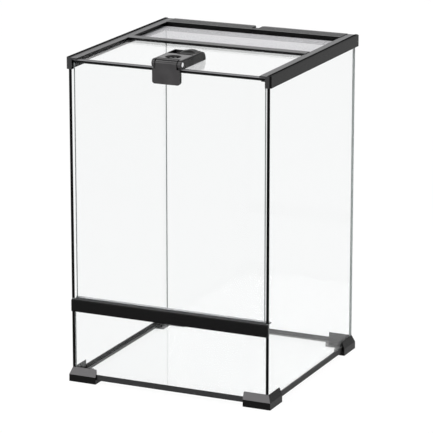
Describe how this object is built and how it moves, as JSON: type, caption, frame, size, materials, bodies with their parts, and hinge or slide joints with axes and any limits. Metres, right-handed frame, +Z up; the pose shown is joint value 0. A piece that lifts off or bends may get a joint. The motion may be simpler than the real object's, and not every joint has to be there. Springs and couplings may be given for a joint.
{
  "type": "reptile terrarium",
  "caption": "Tall glass terrarium with black corner feet and top frame, a rear vent mesh, a cable notch and a front glass door hung from a lockable hinge on the top pane.",
  "frame": {"origin": "centre of the glass box's footprint, on the surface that the feet stand on", "axes": "+Z up, the door faces -Y, +X to the right seen from the front"},
  "size_m": [0.3086, 0.3133, 0.4773],
  "materials": {
    "pane": "clear float glass with polished edges",
    "frame_plastic": "satin black extruded plastic",
    "foot_plastic": "satin black moulded plastic",
    "seal": "matt black seal strip",
    "mesh_metal": "bright fine gauze",
    "lock_plastic": "satin dark grey moulded plastic",
    "pin_metal": "polished",
    "screw_metal": "black oxide"
  },
  "bodies": {
    "tank": {"base_glass": "pane", "left_side_glass": "pane", "right_side_glass": "pane", "rear_glass": "pane", "lower_front_glass": "pane", "top_glass": "pane", "front_left_foot": "foot_plastic", "front_right_foot": "foot_plastic", "rear_left_foot": "foot_plastic", "rear_right_foot": "foot_plastic", "front_base_rail": "frame_plastic", "rear_base_rail": "frame_plastic", "left_base_rail": "frame_plastic", "right_base_rail": "frame_plastic", "front_sill": "frame_plastic", "left_edge_seal": "seal", "right_edge_seal": "seal", "left_top_rail": "frame_plastic", "right_top_rail": "frame_plastic", "left_rail_cap": "frame_plastic", "right_rail_cap": "frame_plastic", "left_rear_rail": "frame_plastic", "right_rear_rail": "frame_plastic", "cross_bar": "frame_plastic", "top_glass_edging": "seal", "vent_mesh": "mesh_metal", "lock_body": "lock_plastic", "lock_hinge_pin": "pin_metal", "lock_screw": "screw_metal", "lock_clamp_plate": "lock_plastic"},
    "door": {"door_glass": "pane", "lock_flap": "lock_plastic", "lock_flap_pad": "seal"},
    "slider": {"lock_slider": "lock_plastic"}
  },
  "joints": [
    {"name": "door_hinge", "type": "hinge", "parent": "tank", "child": "door", "pos_m": [0, -0.1506, 0.4687], "axis": [-1, 0, 0], "range_deg": [0, 95]},
    {"name": "lock_slide", "type": "slide", "parent": "tank", "child": "slider", "axis": [-1, 0, 0], "range_m": [0, 0.0135]}
  ]
}
